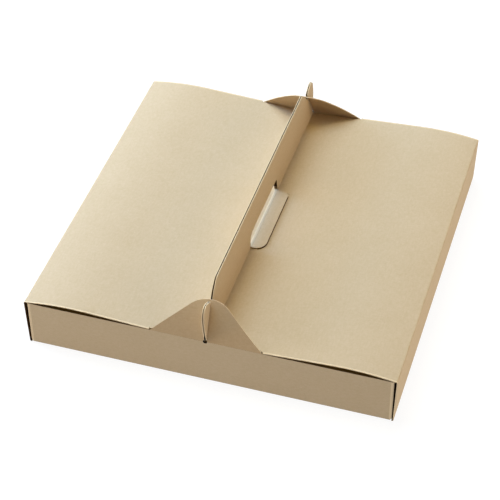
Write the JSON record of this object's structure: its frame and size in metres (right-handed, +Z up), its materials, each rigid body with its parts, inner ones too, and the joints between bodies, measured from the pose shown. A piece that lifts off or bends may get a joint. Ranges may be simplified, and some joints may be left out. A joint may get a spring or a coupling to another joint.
{
  "type": "paper lunch box",
  "caption": "Flat folded kraft board lunch box with an arched lid that meets in an upright carry handle, hooked at both ends by locking flaps.",
  "frame": {"origin": "middle of the underside, on the surface the box rests on", "axes": "+X across the box to its right side, +Y from the front end wall to the back one, along the handle, +Z up"},
  "size_m": [0.2824, 0.2878, 0.076],
  "materials": {
    "kraft_board": "matte uncoated kraft board"
  },
  "bodies": {
    "box": {"folded_box": "kraft_board"},
    "front_flap": {"front_locking_flap": "kraft_board"},
    "back_flap": {"back_locking_flap": "kraft_board"}
  },
  "joints": [
    {"name": "front_flap_crease", "type": "hinge", "parent": "box", "child": "front_flap", "pos_m": [0, -0.142, 0.0396], "axis": [1, 0, 0], "range_deg": [0, 200], "deforming": ["front_locking_flap"]},
    {"name": "back_flap_crease", "type": "hinge", "parent": "box", "child": "back_flap", "pos_m": [0, 0.142, 0.0396], "axis": [-1, 0, 0], "range_deg": [0, 200], "deforming": ["back_locking_flap"]}
  ]
}
